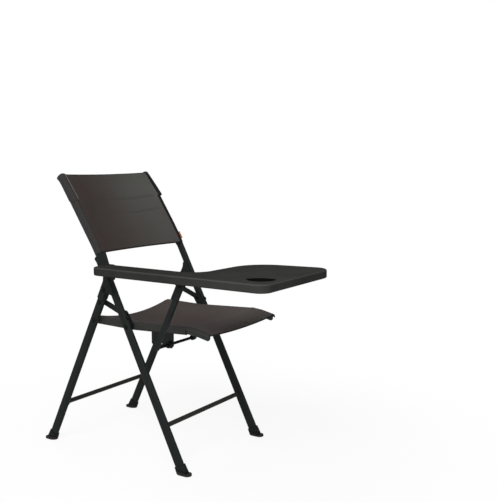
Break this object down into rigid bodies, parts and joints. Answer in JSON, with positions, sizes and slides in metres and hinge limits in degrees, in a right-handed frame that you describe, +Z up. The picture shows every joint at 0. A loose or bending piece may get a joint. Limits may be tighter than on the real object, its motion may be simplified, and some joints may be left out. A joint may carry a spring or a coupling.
{
  "type": "folding tablet chair",
  "caption": "Folding chair with a cloth seat and back on a dark flat-oval tube frame, and a side writing tablet with a cup recess.",
  "frame": {"origin": "on the floor under the middle of the chair's box", "axes": "+Z up, -Y the way the sitter faces, -X the sitter's right, where the tablet is"},
  "size_m": [0.516, 0.9484, 0.9147],
  "materials": {
    "frame_paint": "satin",
    "rail_paint": "satin",
    "hardware_black": "satin",
    "foot_rubber": "matte",
    "trim_plastic": "matte",
    "tablet_plastic": "fine grain",
    "seat_cloth": "woven",
    "back_cloth": "woven"
  },
  "bodies": {
    "front_frame": {"right_main_tube": "frame_paint", "left_main_tube": "frame_paint", "right_front_foot": "foot_rubber", "left_front_foot": "foot_rubber", "right_top_plug": "trim_plastic", "left_top_plug": "trim_plastic", "right_inner_hinge_plate": "frame_paint", "left_inner_hinge_plate": "frame_paint", "right_outer_hinge_plate": "frame_paint", "left_outer_hinge_plate": "frame_paint", "right_back_sleeve": "back_cloth", "left_back_sleeve": "back_cloth", "front_stretcher": "frame_paint", "leg_pivot_pins": "hardware_black", "seat_pivot_pins": "hardware_black", "arm_bracket": "frame_paint", "arm_pivot_pin": "hardware_black", "back_sling": "back_cloth"},
    "rear_frame": {"right_rear_leg": "frame_paint", "left_rear_leg": "frame_paint", "right_rear_foot": "foot_rubber", "left_rear_foot": "foot_rubber", "rear_stretcher": "frame_paint", "link_pins": "hardware_black"},
    "brace_links": {"right_brace_link": "frame_paint", "left_brace_link": "frame_paint"},
    "seat": {"right_seat_rail": "rail_paint", "left_seat_rail": "rail_paint", "right_seat_corner": "trim_plastic", "left_seat_corner": "trim_plastic", "right_rail_plug": "trim_plastic", "left_rail_plug": "trim_plastic", "right_seat_crank": "frame_paint", "left_seat_crank": "frame_paint", "right_crank_boss": "frame_paint", "left_crank_boss": "frame_paint", "seat_front_bar": "frame_paint", "seat_rear_bow": "frame_paint", "seat_sling": "seat_cloth", "seat_front_roll": "seat_cloth", "rod_hanger": "frame_paint", "rod_bush": "hardware_black"},
    "release": {"release_rod": "hardware_black", "release_knob": "hardware_black"},
    "tablet": {"tablet_board": "tablet_plastic", "strut_clevis": "frame_paint", "strut_pin": "hardware_black"},
    "strut": {"tablet_strut": "frame_paint"}
  },
  "joints": [
    {"name": "rear_leg_fold", "type": "hinge", "parent": "front_frame", "child": "rear_frame", "pos_m": [0.039, 0.18397, 0.545], "axis": [-1, 0, 0], "range_deg": [0, 50.5]},
    {"name": "brace_link_turn", "type": "hinge", "parent": "rear_frame", "child": "brace_links", "pos_m": [0.039, 0.20509, 0.50134], "axis": [1, 0, 0], "range_deg": [0, 49.47]},
    {"name": "seat_fold", "type": "hinge", "parent": "front_frame", "child": "seat", "pos_m": [0.039, 0.09453, 0.434], "axis": [1, 0, 0], "range_deg": [0, 62.53]},
    {"name": "release_slide", "type": "slide", "parent": "seat", "child": "release", "axis": [1, 0, 0], "range_m": [0, 0.07204]},
    {"name": "tablet_fold", "type": "hinge", "parent": "front_frame", "child": "tablet", "pos_m": [0.039, 0.13953, 0.616], "axis": [1, 0, 0], "range_deg": [0, 62.53]},
    {"name": "strut_fold", "type": "hinge", "parent": "tablet", "child": "strut", "pos_m": [0.039, -0.15747, 0.591], "axis": [1, 0, 0], "range_deg": [0, 64.03]}
  ],
  "couplings": [
    {"joint": "seat_fold", "follows": "rear_leg_fold", "ratio": 1.2376},
    {"joint": "tablet_fold", "follows": "rear_leg_fold", "ratio": 1.2376},
    {"joint": "strut_fold", "follows": "rear_leg_fold", "ratio": 1.2673},
    {"joint": "brace_link_turn", "follows": "rear_leg_fold", "ratio": 0.97921},
    {"joint": "release_slide", "follows": "rear_leg_fold", "m_per_rad": 0.081689}
  ]
}
